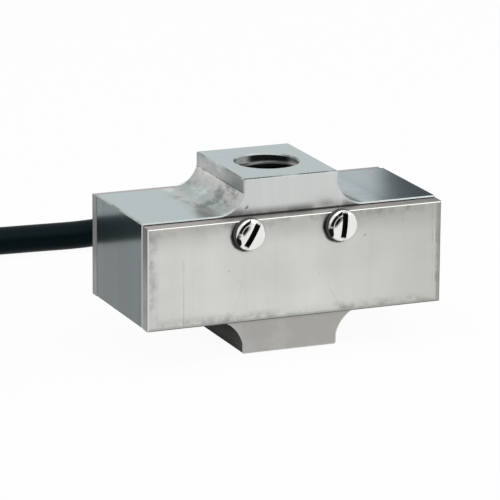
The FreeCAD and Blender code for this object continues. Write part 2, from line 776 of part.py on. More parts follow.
def on_coil(body):
    """Local X points from the coil's centre towards the tie."""
    turned = Rotation(Vector(0, 0, 1), dim("tie_angle").value)
    place(body, dim("coil_centre_x"), dim("coil_centre_y"), ZERO, turned)
    bind(body, "Placement.Rotation.Angle", dim("tie_angle"))


def strap_corners(grow):
    """The loop of the tie round the coil's section, grown outwards from the turns."""
    low = dim("tie_thickness") - grow
    lift = dim("tie_thickness") + dim("tie_gap") + grow
    inner, outer = coil_inner - dim("tie_gap") - grow, coil_outer + dim("tie_gap") + grow
    shift = grow * 0.4
    return [(inner, low), (outer, low), (outer, full_height + lift - shift),
            (dim("coil_mean_radius") + shift, top_height + lift), (inner, top_height + lift)]


def make_cable_tie():
    body = new_body("cable_tie")
    outside = new_sketch(body, "tie_outside")
    outline(outside, strap_corners(dim("tie_thickness")))
    add_pad(body, outside, dim("tie_width"), both_ways=True)
    head = new_sketch(body, "tie_head_profile")
    side = coil_outer + dim("tie_gap") + dim("tie_thickness")
    low = full_height / 3
    rectangle(head, side - 0.5, side + dim("tie_head") * 0.7, low, low + dim("tie_head"))
    add_pad(body, head, dim("tie_head"), both_ways=True)
    inside = new_sketch(body, "tie_inside")
    outline(inside, strap_corners(ZERO))
    add_cut(body, inside, "Pocket", Type="ThroughAll", SideType="Symmetric")
    on_coil(body)


def on_ring(angle, radius, height):
    """A point over the coil, by its direction in degrees, its radius and its height."""
    turn = math.radians(angle)
    x = dim("coil_centre_x").value + radius * math.cos(turn)
    y = dim("coil_centre_y").value + radius * math.sin(turn)
    return Vector(x, y, height)


def make_far_end():
    """The sleeve, four cores with tinned ends and the drain wire, lying on the coil."""
    sleeve, lead, tip = (dim(name).value for name in ("sleeve_diameter", "lead_diameter", "tip_diameter"))
    radius = dim("coil_mean_radius").value + sleeve / 2 + 0.5
    height = full_height.value + sleeve / 2 + 0.05
    per_mm = math.degrees(1 / radius)
    first = dim("end_angle").value - dim("sleeve_length").value * per_mm / 2
    sleeve_end = first + dim("sleeve_length").value * per_mm
    sleeve_route = [on_ring(angle, radius, height) for angle in (first, (first + sleeve_end) / 2, sleeve_end)]
    tubes("end_sleeve", [sleeve_route], dim("sleeve_diameter"))
    ahead = (sleeve_route[-1] - sleeve_route[-2]).normalize()
    outwards = ahead.cross(Vector(0, 0, 1))
    mouth = sleeve_route[-1] + ahead * 0.1
    rest = full_height.value + lead / 2 + 0.05

    def from_mouth(along, out, z):
        return mouth + ahead * along + outwards * out + Vector(0, 0, z - height)

    def over_coil(along, out, z):
        return on_ring(sleeve_end + along * per_mm, radius + out, z)

    half = lead * 0.56
    reaches = {"red": (-half, half, 17.0, -0.3, -0.1), "black": (-half, -half, 12.0, -2.5, -2.6),
               "green": (half, half, 16.0, 1.4, 1.8), "white": (half, -half, 11.0, 3.1, 3.8)}
    tips = []
    for colour, (out, up, down, landing, end) in reaches.items():
        route = [
            from_mouth(0, out, height + up),
            from_mouth(4, out, height + up),
            over_coil(down, landing, rest),
            over_coil(down + 9, end, rest),
        ]
        tubes("lead_" + colour, [route], dim("lead_diameter"))
        onward = (route[-1] - route[-2]).normalize()
        tips.append([route[-1] + onward * 0.05, route[-1] + onward * dim("lead_bare").value])
    tubes("lead_tips", tips, dim("tip_diameter"))
    side = sleeve / 2 - tip
    floor = full_height.value + tip / 2 + 0.1
    drain = [
        from_mouth(0, side, height),
        from_mouth(5, side, height),
        over_coil(13, side + 2.7, floor),
        over_coil(19, side + 3.3, floor),
    ]
    tubes("shield_drain", [drain], dim("tip_diameter"))


# Build ---------------------------------------------------------------------------------

make_beam_body()
make_cover("front_cover", FRONT)
make_cover("rear_cover", REAR)
make_gasket("front_gasket", FRONT)
make_gasket("rear_gasket", REAR)
SLOT_TURNS = {"front_screw": (FRONT, (-30, -5)), "rear_screw": (REAR, (12, 71))}
for kind, (side, turns) in SLOT_TURNS.items():
    for hand, x, turn in zip(("left", "right"), screw_places, turns):
        make_screw(f"{kind}_{hand}", x, side, turn)
for hand, x in bore_places.items():
    make_gauge(f"gauge_{hand}_upper", x, 1)
    make_gauge(f"gauge_{hand}_lower", x, -1)
make_terminal_board()
left_wires = make_gauge_wires("gauge_wires_left", bore_places["left"])
right_wires = make_gauge_wires("gauge_wires_right", bore_places["right"])
cores = tubes("cable_cores", core_routes(), dim("core_diameter"))
by_label = {piece.Label: piece for piece in parts}
left_gauges = [by_label["gauge_left_upper"], by_label["gauge_left_lower"]]
right_gauges = [by_label["gauge_right_upper"], by_label["gauge_right_lower"]]
make_potting("potting_left", bore_places["left"], [*left_gauges, left_wires])
make_potting("potting_right", bore_places["right"], [*right_gauges, right_wires, cores])
make_gland_body()
make_locknut()
make_ring("gland_seal", jacket_hole, dim("seal_diameter") / 2, seal_start, seal_end)
make_gland_nut()
make_strain_relief()
make_ring("cable_inner_end", ZERO, dim("cable_diameter") / 2, gland_inner + 0.5, relief_end)
make_cable_coil()
by_label = {piece.Label: piece for piece in parts}
make_cable()
make_cable_tie()
make_far_end()
doc.recompute()

for item in doc.Objects:
    if "Invalid" in item.State or "Error" in item.State:
        raise RuntimeError(f"{item.Name} failed: {item.State}")
os.makedirs("parts", exist_ok=True)
for piece in parts:
    shape = piece.Shape
    if shape.isNull() or not shape.isValid() or not shape.Solids:
        raise RuntimeError(f"{piece.Label} isn't a valid solid")
for piece in parts:
    piece.Shape.exportStep(f"parts/{piece.Label}.step")
print(len(parts), "sub-parts written")
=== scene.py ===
import bpy, bmesh, math
from mathutils import Matrix, Vector


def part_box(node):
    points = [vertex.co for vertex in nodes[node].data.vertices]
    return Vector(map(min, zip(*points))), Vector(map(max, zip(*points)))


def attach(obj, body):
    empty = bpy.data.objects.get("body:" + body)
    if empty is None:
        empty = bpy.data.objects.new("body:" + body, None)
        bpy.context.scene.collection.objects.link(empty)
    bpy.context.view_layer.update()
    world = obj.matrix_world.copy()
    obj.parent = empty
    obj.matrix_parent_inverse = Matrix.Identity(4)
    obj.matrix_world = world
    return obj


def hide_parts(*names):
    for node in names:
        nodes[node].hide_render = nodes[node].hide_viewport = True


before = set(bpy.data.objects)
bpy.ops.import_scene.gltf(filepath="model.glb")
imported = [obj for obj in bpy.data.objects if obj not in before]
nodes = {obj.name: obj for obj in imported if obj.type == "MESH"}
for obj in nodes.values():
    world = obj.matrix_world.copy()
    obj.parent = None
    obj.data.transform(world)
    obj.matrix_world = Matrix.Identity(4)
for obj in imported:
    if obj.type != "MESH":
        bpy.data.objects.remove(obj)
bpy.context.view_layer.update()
mm = 0.001

# Studio: a plain white floor under a white surround, two soft boxes and a dark flag.
# The camera, metal and glass see floor and surround as white, and dull surfaces get a plain grey light.
# The flag stands behind the right shoulder, and only polished metal shows it.
scene = bpy.context.scene
scene.view_settings.view_transform = "Standard"

camera_data = bpy.data.cameras.new("studio_camera")
camera = bpy.data.objects.new("studio_camera", camera_data)
scene.collection.objects.link(camera)
camera_data.sensor_width = 36.0
camera_data.lens = 280.68
camera_data.clip_start = 0.05
camera_data.clip_end = 20.0
camera_place = (-0.28076, -0.65589, 0.20793)
camera_left_of_front, camera_above_level, camera_roll = 22.932, 15.037, 0.427
camera.matrix_world = (Matrix.Translation(camera_place)
                       @ Matrix.Rotation(math.radians(-camera_left_of_front), 4, "Z")
                       @ Matrix.Rotation(math.radians(90 - camera_above_level), 4, "X")
                       @ Matrix.Rotation(math.radians(camera_roll), 4, "Z"))
scene.camera = camera


def new_material(name):
    """A node material with its Principled shader, and a function that adds a node with its settings."""
    material = bpy.data.materials.new(name)
    material.use_nodes = True
    tree = material.node_tree
    shader = tree.nodes["Principled BSDF"]

    def add(kind, links=(), **values):
        node = tree.nodes.new(kind)
        for key, value in values.items():
            if hasattr(node, key):
                setattr(node, key, value)
            else:
                node.inputs[key.replace("_", " ")].default_value = value
        for socket, source in dict(links).items():
            tree.links.new(source, node.inputs[socket])
        return node

    return material, tree, shader, add


def white_where_seen(tree):
    """1 for the rays that show the background: from the camera, off metal and through glass."""
    path = tree.nodes.new("ShaderNodeLightPath")
    seen = path.outputs["Is Camera Ray"]
    for ray in ("Is Glossy Ray", "Is Transmission Ray"):
        either = tree.nodes.new("ShaderNodeMath")
        either.operation = "MAXIMUM"
        tree.links.new(seen, either.inputs[0])
        tree.links.new(path.outputs[ray], either.inputs[1])
        seen = either.outputs[0]
    return seen


floor_size = 3.0
white_share = 0.95
floor_mesh = bpy.data.meshes.new("studio_floor")
corners = [(-floor_size, -floor_size, 0), (floor_size, -floor_size, 0),
           (floor_size, floor_size, 0), (-floor_size, floor_size, 0)]
floor_mesh.from_pydata(corners, [], [(0, 1, 2, 3)])
floor = bpy.data.objects.new("studio_floor", floor_mesh)
scene.collection.objects.link(floor)
floor.location.z = -0.0002
floor_material, tree, shader, add = new_material("white_floor")
shader.inputs["Base Color"].default_value = (0.80, 0.80, 0.80, 1)
shader.inputs["Roughness"].default_value = 1.0
shader.inputs["Specular IOR Level"].default_value = 0.0
seen = add("ShaderNodeMath", {0: white_where_seen(tree)}, operation="MULTIPLY")
seen.inputs[1].default_value = white_share
glow = add("ShaderNodeEmission", Color=(1, 1, 1, 1), Strength=1.0)
mixed = add("ShaderNodeMixShader", {0: seen.outputs[0], 1: shader.outputs[0], 2: glow.outputs[0]})
tree.links.new(mixed.outputs[0], tree.nodes["Material Output"].inputs["Surface"])
floor_mesh.materials.append(floor_material)

world = bpy.data.worlds.new("studio_surround")
scene.world = world
world.use_nodes = True
surround = world.node_tree
background = surround.nodes["Background"]
seen_white = surround.nodes.new("ShaderNodeBackground")
seen_white.inputs["Color"].default_value = (1, 1, 1, 1)
background.inputs["Color"].default_value = (0.42, 0.45, 0.45, 1)
choose = surround.nodes.new("ShaderNodeMixShader")
surround.links.new(white_where_seen(surround), choose.inputs[0])
surround.links.new(background.outputs[0], choose.inputs[1])
surround.links.new(seen_white.outputs[0], choose.inputs[2])
surround.links.new(choose.outputs[0], surround.nodes["World Output"].inputs["Surface"])

flag_mesh = bpy.data.meshes.new("dark_flag")
flag_corners = [(0.082, 0.125, 0.035), (0.220, 0.125, 0.035), (0.220, 0.125, 0.120), (0.082, 0.125, 0.120)]
flag_mesh.from_pydata(flag_corners, [], [(0, 1, 2, 3)])
flag = bpy.data.objects.new("dark_flag", flag_mesh)
scene.collection.objects.link(flag)
flag.visible_camera = False
flag.visible_shadow = False
flag.visible_diffuse = False
flag_material, tree, shader, add = new_material("black_flag_cloth")
shader.inputs["Base Color"].default_value = (0.10, 0.11, 0.12, 1)
shader.inputs["Roughness"].default_value = 1.0
flag_mesh.materials.append(flag_material)

for name, place, aim, size, power, tint in (
    ("front_soft_box", (0.45, -0.70, 0.75), (0, 0, 0.015), 0.9, 3.8, (1, 0.99, 0.965)),
    ("upper_soft_box", (0.10, -0.15, 1.00), (0, 0, 0.02), 1.3, 5.6, (1, 1, 1)),
):
    lamp_data = bpy.data.lights.new(name, "AREA")
    lamp_data.shape = "SQUARE"
    lamp_data.size = size
    lamp_data.energy = power
    lamp_data.color = tint
    lamp = bpy.data.objects.new(name, lamp_data)
    scene.collection.objects.link(lamp)
    lamp.location = place
    lamp.rotation_euler = (Vector(place) - Vector(aim)).to_track_quat("Z", "Y").to_euler()

# Cable: 2.7 m of round black jacketed cable, 5.7 mm thick, moulded in PVC.
# It leaves the strain relief, comes down to the floor, and winds into the put-away coil:
# three layers of turns side by side and three turns on top, all lifted where the tie passes under.
cable_diameter = 5.7 * mm
cable_route = [
    (17.0, 29.75, 17.05), (17.0, 40.7, 17.05), (15.1, 51.3, 13.9), (10.0, 60.4, 9.5), (1.8, 67.0, 5.3),
    (-8.5, 70.8, 2.85), (-21.5, 71.9, 2.85), (-42.0, 73.2, 2.85), (-63.0, 73.2, 2.85), (-81.0, 71.6, 2.85),
]
coil_centre = (-97.0, 30.0)
turn_radii = [22.85, 28.55, 34.25, 39.95]
layer_heights = [2.85, 8.55, 14.25, 19.95]
layer_columns = [(3, 2, 1, 0), (0, 1, 2, 3), (3, 2, 1, 0), (0, 1)]
top_turn = (35.15, 20.4)
turn_places = [(turn_radii[column], height)
               for columns, height in zip(layer_columns, layer_heights) for column in columns]
turn_places.append(top_turn)
first_angle, last_angle = 90, 4906
half_turn, quarter_turn = 180, 90
winding = []
angle = 0
for place, following in zip(turn_places, turn_places[1:] + [top_turn]):
    winding += [(angle, *place), (angle + half_turn, *place)]
    climbs = place[0] == following[0]
    angle += half_turn + (quarter_turn if climbs else half_turn)
tie_direction, tie_reach, tie_lift = 50, 30, 1.15


def turn_at(angle):
    """Radius and height of the wound cable's middle line, by the angle wound so far."""
    for (a, radius_a, height_a), (b, radius_b, height_b) in zip(winding, winding[1:]):
        if a <= angle <= b:
            share = (angle - a) / (b - a)
            share = share * share * (3 - 2 * share)
            break
    past_tie = (angle - tie_direction + 180) % 360 - 180
    lift = 0.0
    if abs(past_tie) < tie_reach:
        lift = tie_lift * math.cos(math.radians(past_tie / tie_reach * 90))
    return radius_a + (radius_b - radius_a) * share, height_a + (height_b - height_a) * share + lift


points = [Vector(p) * mm for p in cable_route]
for angle in list(range(first_angle, last_angle, 15)) + [last_angle]:
    radius, height = turn_at(angle)
    turned = math.radians(angle)
    sideways, back = radius * math.cos(turned), radius * math.sin(turned)
    points.append(Vector((coil_centre[0] + sideways, coil_centre[1] + back, height)) * mm)
cable_curve = bpy.data.curves.new("cable_jacket", "CURVE")
cable_curve.dimensions = "3D"
spline = cable_curve.splines.new("NURBS")
spline.points.add(len(points) - 1)
for control, spot in zip(spline.points, points):
    control.co = (*spot, 1)
spline.order_u = 3
spline.use_endpoint_u = True
spline.resolution_u = 6
cable_curve.resolution_u = 6
cable_curve.bevel_depth = cable_diameter / 2
cable_curve.bevel_resolution = 8
cable_curve.use_fill_caps = True
cable_jacket = bpy.data.objects.new("cable_jacket", cable_curve)
scene.collection.objects.link(cable_jacket)

jacket_material, tree, shader, add = new_material("black_cable_jacket")
where = add("ShaderNodeTexCoord")
patches = add("ShaderNodeTexNoise", {"Vector": where.outputs["Object"]}, Scale=60.0, Detail=3.0)
shade = add("ShaderNodeValToRGB", {"Fac": patches.outputs["Fac"]})
darker, paler = shade.color_ramp.elements
darker.position, darker.color = 0.3, (0.0006, 0.0022, 0.0032, 1)
paler.position, paler.color = 0.75, (0.0014, 0.0040, 0.0054, 1)
tree.links.new(shade.outputs["Color"], shader.inputs["Base Color"])
grain = add("ShaderNodeTexNoise", {"Vector": where.outputs["Object"]}, Scale=1400.0, Detail=4.0)
sheen = add("ShaderNodeMapRange", {"Value": patches.outputs["Fac"]})
sheen.inputs["To Min"].default_value, sheen.inputs["To Max"].default_value = 0.34, 0.46
tree.links.new(sheen.outputs[0], shader.inputs["Roughness"])
skin = add("ShaderNodeBump", {"Height": grain.outputs["Fac"]}, Strength=0.12, Distance=0.0002)
tree.links.new(skin.outputs[0], shader.inputs["Normal"])
shader.inputs["Specular IOR Level"].default_value = 0.06
shader.inputs["Specular Tint"].default_value = (0.55, 0.95, 1.0, 1)
cable_curve.materials.append(jacket_material)
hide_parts("cable", "cable_coil")
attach(cable_jacket, "root")


def dress(material, *names):
    """Gives these pieces the material in place of their own."""
    for name in names:
        nodes[name].data.materials.clear()
        nodes[name].data.materials.append(material)


dress(jacket_material, "cable_inner_end")

# Beam body: one block of stainless steel, milled from the front with its two bosses.
# Its end faces are polished, the bosses are brushed along the load and the shoulders are ground,
# and a fine bright line of painted highlight runs along every edge.
beam_steel, tree, shader, add = new_material("milled_stainless")
where = add("ShaderNodeTexCoord")
facing = add("ShaderNodeNewGeometry")
spot = add("ShaderNodeSeparateXYZ", {"Vector": where.outputs["Object"]})
normal = add("ShaderNodeSeparateXYZ", {"Vector": facing.outputs["Normal"]})


def maths(operation, first, second=None, third=None):
    """A Math node; each input is a number or another node's output."""
    node = tree.nodes.new("ShaderNodeMath")
    node.operation = operation
    for socket, value in zip(node.inputs, (first, second, third)):
        if isinstance(value, (int, float)):
            socket.default_value = value
        elif value is not None:
            tree.links.new(value, socket)
    return node.outputs[0]


def times(first, second):
    return maths("MULTIPLY", first, second)


def inverse(value):
    """1 where the value is 0, and 0 where it is 1."""
    return maths("SUBTRACT", 1.0, value)


def absolute(value):
    return maths("ABSOLUTE", value)


def ramp(value, stops):
    """A Color Ramp node from (position, colour) stops."""
    node = tree.nodes.new("ShaderNodeValToRGB")
    tree.links.new(value, node.inputs["Fac"])
    elements = node.color_ramp.elements
    while len(elements) < len(stops):
        elements.new(0.5)
    for element, (position, colour) in zip(elements, stops):
        element.position = position
        element.color = (*colour, 1) if len(colour) == 3 else colour
    return node.outputs["Color"]


def noise(scale, stretch=(1, 1, 1), detail=3.0, roughness=0.5, vector=None):
    """A Noise Texture on Object coordinates, stretched along the axes."""
    mapping = tree.nodes.new("ShaderNodeMapping")
    tree.links.new(where.outputs["Object"] if vector is None else vector, mapping.inputs["Vector"])
    mapping.inputs["Scale"].default_value = stretch
    node = tree.nodes.new("ShaderNodeTexNoise")
    tree.links.new(mapping.outputs[0], node.inputs["Vector"])
    node.inputs["Scale"].default_value = scale
    node.inputs["Detail"].default_value = detail
    node.inputs["Roughness"].default_value = roughness
    return node.outputs["Fac"]


def mix(share, first, second, blend="MIX"):
    """A Mix Color node; each colour is a triple or another node's output."""
    node = tree.nodes.new("ShaderNodeMix")
    node.data_type = "RGBA"
    node.blend_type = blend
    for socket, value in zip((node.inputs[0], node.inputs[6], node.inputs[7]), (share, first, second)):
        if isinstance(value, (int, float)):
            socket.default_value = value
        elif isinstance(value, tuple):
            socket.default_value = (*value, 1)
        else:
            tree.links.new(value, socket)
    return node.outputs[2]


def above(value, limit):
    return maths("GREATER_THAN", value, limit)


def rise(value, low, high):
    """0 below low, 1 above high and smooth between them."""
    node = tree.nodes.new("ShaderNodeMapRange")
    node.interpolation_type = "SMOOTHSTEP"
    tree.links.new(value, node.inputs["Value"])
    node.inputs["From Min"].default_value = low
    node.inputs["From Max"].default_value = high
    return node.outputs[0]


def bump(height, strength, distance=0.0002):
    """Fine relief of this strength on the material's surface."""
    relief = add("ShaderNodeBump", {"Height": height}, Strength=strength, Distance=distance)
    tree.links.new(relief.outputs[0], shader.inputs["Normal"])


x, y, z = (spot.outputs[axis] for axis in "XYZ")
across, lengthwise, upright = (absolute(normal.outputs[axis]) for axis in "YXZ")
shoulder_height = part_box("front_cover")[1][2] + 0.4 * mm
body_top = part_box("beam_body")[1][2]
flat, bevel_from, bevel_to = 0.97, 0.45, 0.92
end_face_from = 29 * mm
end_face = times(above(lengthwise, flat), above(absolute(x), end_face_from))
level = above(upright, flat)
flank = above(across, flat)
edge = times(above(across, bevel_from), inverse(above(across, bevel_to)))
hollow = maths("SUBTRACT", maths("SUBTRACT", inverse(level), flank), maths("MAXIMUM", end_face, edge))
hollow = maths("MAXIMUM", hollow, 0.0)
right_shoulder_painted_shade = times(level, rise(x, 7 * mm, 21 * mm))
from_axis = maths("SQRT", maths("ADD", times(x, x), times(y, y)))
hole_wall = 6.03 * mm
hole_painted_shade = inverse(above(from_axis, hole_wall))
brushed_up = noise(900.0, (1, 1, 0.02), 4.0)
ground = noise(700.0, (0.03, 1, 1), 4.0)
side_ground = noise(420.0, (1, 0.03, 1), 3.0)
cloudy = noise(55.0, (1, 1, 1), 3.0)
mottled = noise(230.0, (1, 0.6, 1), 5.0, 0.75)
blotched = maths("MULTIPLY_ADD", noise(85.0, (1, 0.7, 1), 4.0, 0.65), 0.55, times(mottled, 0.5))
beside_boss = inverse(rise(absolute(x), 14.6 * mm, 19.5 * mm))
near_foot = times(beside_boss, above(24 * mm, absolute(maths("SUBTRACT", z, 5 * mm))))
stained = maths("MAXIMUM", hollow, times(level, near_foot))
steel = mix(cloudy, (0.59, 0.625, 0.635), (0.66, 0.685, 0.685))
steel = mix(times(maths("MULTIPLY_ADD", brushed_up, 0.6, 0.2), flank), steel, (0.82, 0.825, 0.80))
steel = mix(times(stained, 0.7), steel, (0.60, 0.575, 0.545))
steel = mix(times(stained, rise(blotched, 0.50, 0.59)), steel, (0.27, 0.28, 0.275))
steel = mix(times(stained, inverse(rise(blotched, 0.40, 0.48))), steel, (0.87, 0.89, 0.885))
crease_height = body_top - 2.65 * mm
off_crease = absolute(maths("SUBTRACT", z, crease_height))
crease_painted_shade = times(inverse(rise(off_crease, 0.05 * mm, 0.20 * mm)), inverse(maths("MAXIMUM", flank, edge)))
# Painted shade: a dark line along the crease where each fillet of the top boss meets its flat side.
steel = mix(times(crease_painted_shade, rise(blotched, 0.36, 0.52)), steel, (0.05, 0.055, 0.052))
bands = maths("MULTIPLY_ADD", noise(130.0, (1, 0.04, 1), 2.0), 0.6, times(side_ground, 0.4))
banded = rise(bands, 0.38, 0.60)
# Painted shade: the level faces of the right shoulder are darkened, in streaks along their grinding bands.
steel = mix(times(right_shoulder_painted_shade, maths("MULTIPLY_ADD", banded, 0.65, 0.35)), steel, (0.41, 0.475, 0.515))
boss_side = times(above(lengthwise, flat), inverse(above(absolute(x), end_face_from)))
steel = mix(times(boss_side, maths("MULTIPLY_ADD", mottled, 0.7, 0.38)), steel, (0.31, 0.345, 0.335))
polish_lines = rise(noise(520.0, (1, 1, 0.05), 3.0), 0.35, 0.65)
specks = times(flank, rise(noise(620.0, (1, 1, 1), 2.0), 0.72, 0.76))
steel = mix(times(specks, 0.8), steel, (0.10, 0.10, 0.10))
# Painted reflection: the polished end faces are given a dark colour for the dark surroundings they mirror.
steel = mix(end_face, steel, mix(polish_lines, (0.153, 0.170, 0.175), (0.184, 0.201, 0.206)))
upper_flank = times(flank, above(z, 20 * mm))
# Painted shade: the front faces darken in patches towards the top of the cover, and a black line is painted
# in the corner just above the cover.
shade_above_cover = times(upper_flank, inverse(rise(z, shoulder_height - 0.2 * mm, shoulder_height + 1.6 * mm)))
patchy = rise(noise(140.0, (1, 1, 0.4), 3.0, 0.6), 0.38, 0.66)
steel = mix(times(shade_above_cover, maths("MULTIPLY_ADD", patchy, 0.75, 0.10)), steel, (0.13, 0.14, 0.14))
line = times(upper_flank, inverse(above(z, shoulder_height - 0.1 * mm)))
steel = mix(times(line, 0.9), steel, (0.06, 0.065, 0.062))
lower_boss = inverse(above(z, 8 * mm))
# Painted shade: the front of the lower boss is darker than the top boss's, and darker again just under the
# cover.
steel = mix(times(lower_boss, flank), steel, (0.53, 0.52, 0.495))
under_cover = times(lower_boss, times(flank, rise(z, 5.6 * mm, 6.9 * mm)))
steel = mix(times(under_cover, 0.75), steel, (0.27, 0.255, 0.24))
cast_marks = times(lower_boss, times(flank, rise(blotched, 0.42, 0.60)))
steel = mix(times(cast_marks, 0.50), steel, (0.42, 0.405, 0.385))
# Painted highlight: every chamfer gets a bright colour, a little brighter on the upward ones.
steel = mix(edge, steel, mix(above(normal.outputs["Z"], 0.3), (0.72, 0.72, 0.71), (0.66, 0.66, 0.65)))
# Painted shade: a dark line, in patches, along the top of the top boss's front edge.
painted_dark_top_edge = times(above(z, body_top - 0.14 * mm), above(times(y, -1.0), 11.35 * mm))
steel = mix(times(painted_dark_top_edge, rise(noise(160.0, (1, 0.2, 0.2), 3.0), 0.25, 0.50)), steel, (0.05, 0.055, 0.05))
# Painted shade: each face is darkened by the way it faces, upward faces most.
painted_shade_factor = mix(rise(normal.outputs["Z"], 0.3, flat), (0.83, 0.83, 0.825), (0.525, 0.605, 0.61))
# Painted shade: the end faces are darker towards the bottom.
end_face_painted_shade = mix(rise(z, 19 * mm, 26 * mm), (0.53, 0.64, 0.645), (0.76, 0.89, 0.90))
steel = mix(1.0, steel, mix(end_face, painted_shade_factor, end_face_painted_shade), "MULTIPLY")
# Painted shade: the sides and hollows of the lower boss are dull and dark, darkest towards the top.
painted_shade_under_block = times(lower_boss, maths("MAXIMUM", hollow, boss_side))
steel = mix(painted_shade_under_block, steel, mix(rise(z, 1.0 * mm, 6.5 * mm), (0.18, 0.172, 0.16), (0.05, 0.053, 0.05)))
# Painted shade: the walls of the two bores are dark.
steel = mix(hole_painted_shade, steel, (0.08, 0.085, 0.085))
tree.links.new(steel, shader.inputs["Base Color"])
bare = maths("MULTIPLY_ADD", end_face, -0.35, inverse(painted_shade_under_block))
tree.links.new(maths("MULTIPLY_ADD", painted_shade_under_block, -0.5, 0.5), shader.inputs["Specular IOR Level"])
tree.links.new(maths("MULTIPLY_ADD", edge, -0.75, bare), shader.inputs["Metallic"])
rough_base = maths("MULTIPLY_ADD", flank, 0.12, 0.22)
rough_mottle = maths("MULTIPLY_ADD", times(mottled, hollow), 0.14, rough_base)
rough_end = times(rough_mottle, maths("MULTIPLY_ADD", end_face, -0.55, 1.0))
tree.links.new(rough_end, shader.inputs["Roughness"])
texture = maths("ADD", times(brushed_up, flank), times(ground, level))
texture = maths("ADD", texture, times(times(mottled, hollow), 1.5))
texture = times(texture, maths("MULTIPLY_ADD", end_face, -0.9, 1.0))
bump(texture, 0.10)
dress(beam_steel, "beam_body")

# Covers: a stainless plate over each face of the block, with a chamfer round its outer face.
# Each is held by two screws to the upper half of the block only, over a thin rubber gasket.
cover_steel, tree, shader, add = new_material("satin_cover_plate")
where = add("ShaderNodeTexCoord")
facing = add("ShaderNodeNewGeometry")
spot = add("ShaderNodeSeparateXYZ", {"Vector": where.outputs["Object"]})
normal = add("ShaderNodeSeparateXYZ", {"Vector": facing.outputs["Normal"]})
x, y, z = (spot.outputs[axis] for axis in "XYZ")
across = absolute(normal.outputs["Y"])
fine = noise(1100.0, (1, 1, 0.03), 4.0)
cloudy = rise(noise(45.0, (1, 1, 1), 4.0, 0.6), 0.30, 0.70)
streaks = rise(noise(150.0, (0.12, 1, 1), 3.0, 0.6), 0.30, 0.72)
upright_lines = rise(noise(420.0, (1, 1, 0.05), 3.0, 0.6), 0.40, 0.75)
spots = noise(300.0, (1, 1, 1), 4.0, 0.7)
tone = mix(cloudy, (0.695, 0.697, 0.663), (0.80, 0.802, 0.77))
tone = mix(times(streaks, 0.34), tone, (0.83, 0.83, 0.805))
tone = mix(times(upright_lines, 0.10), tone, (0.50, 0.50, 0.48))
cover_low, cover_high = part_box("front_cover")
border = maths("MINIMUM", maths("SUBTRACT", cover_high[0], absolute(x)),
               maths("MINIMUM", maths("SUBTRACT", z, cover_low[2]), maths("SUBTRACT", cover_high[2], z)))
# Painted shade: the plate darkens towards its right end.
tone = mix(times(rise(x, 0 * mm, 28 * mm), 0.30), tone, (0.36, 0.36, 0.34))
near_top = rise(z, cover_high[2] - 6 * mm, cover_high[2] - 0.5 * mm)
tone = mix(times(near_top, maths("MULTIPLY_ADD", cloudy, 0.7, 0.15)), tone, (0.34, 0.335, 0.315))
spotted = rise(spots, 0.40, 0.70)
worn = times(inverse(rise(border, 0.2 * mm, 2.6 * mm)), maths("MULTIPLY_ADD", spotted, 0.8, 0.12))
tone = mix(worn, tone, (0.30, 0.29, 0.27))
right_in = maths("SUBTRACT", cover_high[0], x)
# Painted shade: a dark band along the plate's right border.
right_border_painted_shade = inverse(rise(right_in, 0.6 * mm, 1.1 * mm))
tone = mix(times(right_border_painted_shade, 0.75), tone, (0.36, 0.36, 0.34))
off_glint = absolute(maths("SUBTRACT", right_in, 1.35 * mm))
glint = times(inverse(rise(off_glint, 0.05 * mm, 0.22 * mm)), spotted)
tone = mix(times(glint, 0.6), tone, (0.95, 0.95, 0.93))
# Painted reflection: a grey-green band along the bottom border, as a rounded edge would mirror the floor.
lower_border_painted_reflection = inverse(rise(maths("SUBTRACT", z, cover_low[2]), 0.45 * mm, 0.8 * mm))
tone = mix(times(lower_border_painted_reflection, 0.7), tone, (0.42, 0.44, 0.42))
scratches = ((-22.6, 0.0, 20.0, 3.0, 0.30), (-14.6, 0.25, 17.5, 6.0, 0.22), (14.0, -0.6, 12.0, 7.0, 0.16))
for start, lean, top, bottom, strength in scratches:
    beside = absolute(maths("SUBTRACT", x, maths("MULTIPLY_ADD", z, lean, start * mm)))
    between = times(above(z, bottom * mm), above(top * mm, z))
    scratch = times(inverse(rise(beside, 0.03 * mm, 0.12 * mm)), between)
    scratch = times(scratch, maths("MULTIPLY_ADD", spotted, strength, strength * 0.6))
    tone = mix(scratch, tone, (0.22, 0.22, 0.21))
pits = rise(noise(900.0, (1, 1, 1), 2.0), 0.71, 0.76)
tone = mix(times(pits, 0.5), tone, (0.30, 0.30, 0.29))
edge = times(above(across, bevel_from), inverse(above(across, bevel_to)))
upper_edge = times(edge, above(normal.outputs["Z"], 0.3))
side = inverse(above(across, bevel_from))
upper_side = times(side, above(normal.outputs["Z"], 0.9))


def from_head(name, sideways=0.0, upwards=0.0):
    """Distance, across the cover, from a point beside the middle of that screw's head."""
    low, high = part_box(name)
    off_x = maths("SUBTRACT", spot.outputs["X"], (low[0] + high[0]) / 2 + sideways)
    off_z = maths("SUBTRACT", spot.outputs["Z"], (low[2] + high[2]) / 2 + upwards)
    return maths("SQRT", maths("ADD", times(off_x, off_x), times(off_z, off_z)))


nearest = maths("MINIMUM", from_head("front_screw_left", -0.33 * mm, -0.28 * mm),
                from_head("front_screw_right", -0.33 * mm, -0.28 * mm))
# Painted shadow: a near-black ring round each screw head.
painted_shadow_round_heads = inverse(rise(maths("MULTIPLY_ADD", spots, 0.8 * mm, nearest), 3.36 * mm, 3.84 * mm))
tone = mix(painted_shadow_round_heads, tone, (0.055, 0.052, 0.048))
# Painted shade and highlight: the chamfers are dark, and those that face left are bright.
left_chamfer_painted_highlight = times(edge, above(times(normal.outputs["X"], -1.0), 0.3))
tone = mix(edge, tone, (0.20, 0.195, 0.185))
tone = mix(left_chamfer_painted_highlight, tone, (0.74, 0.74, 0.72))
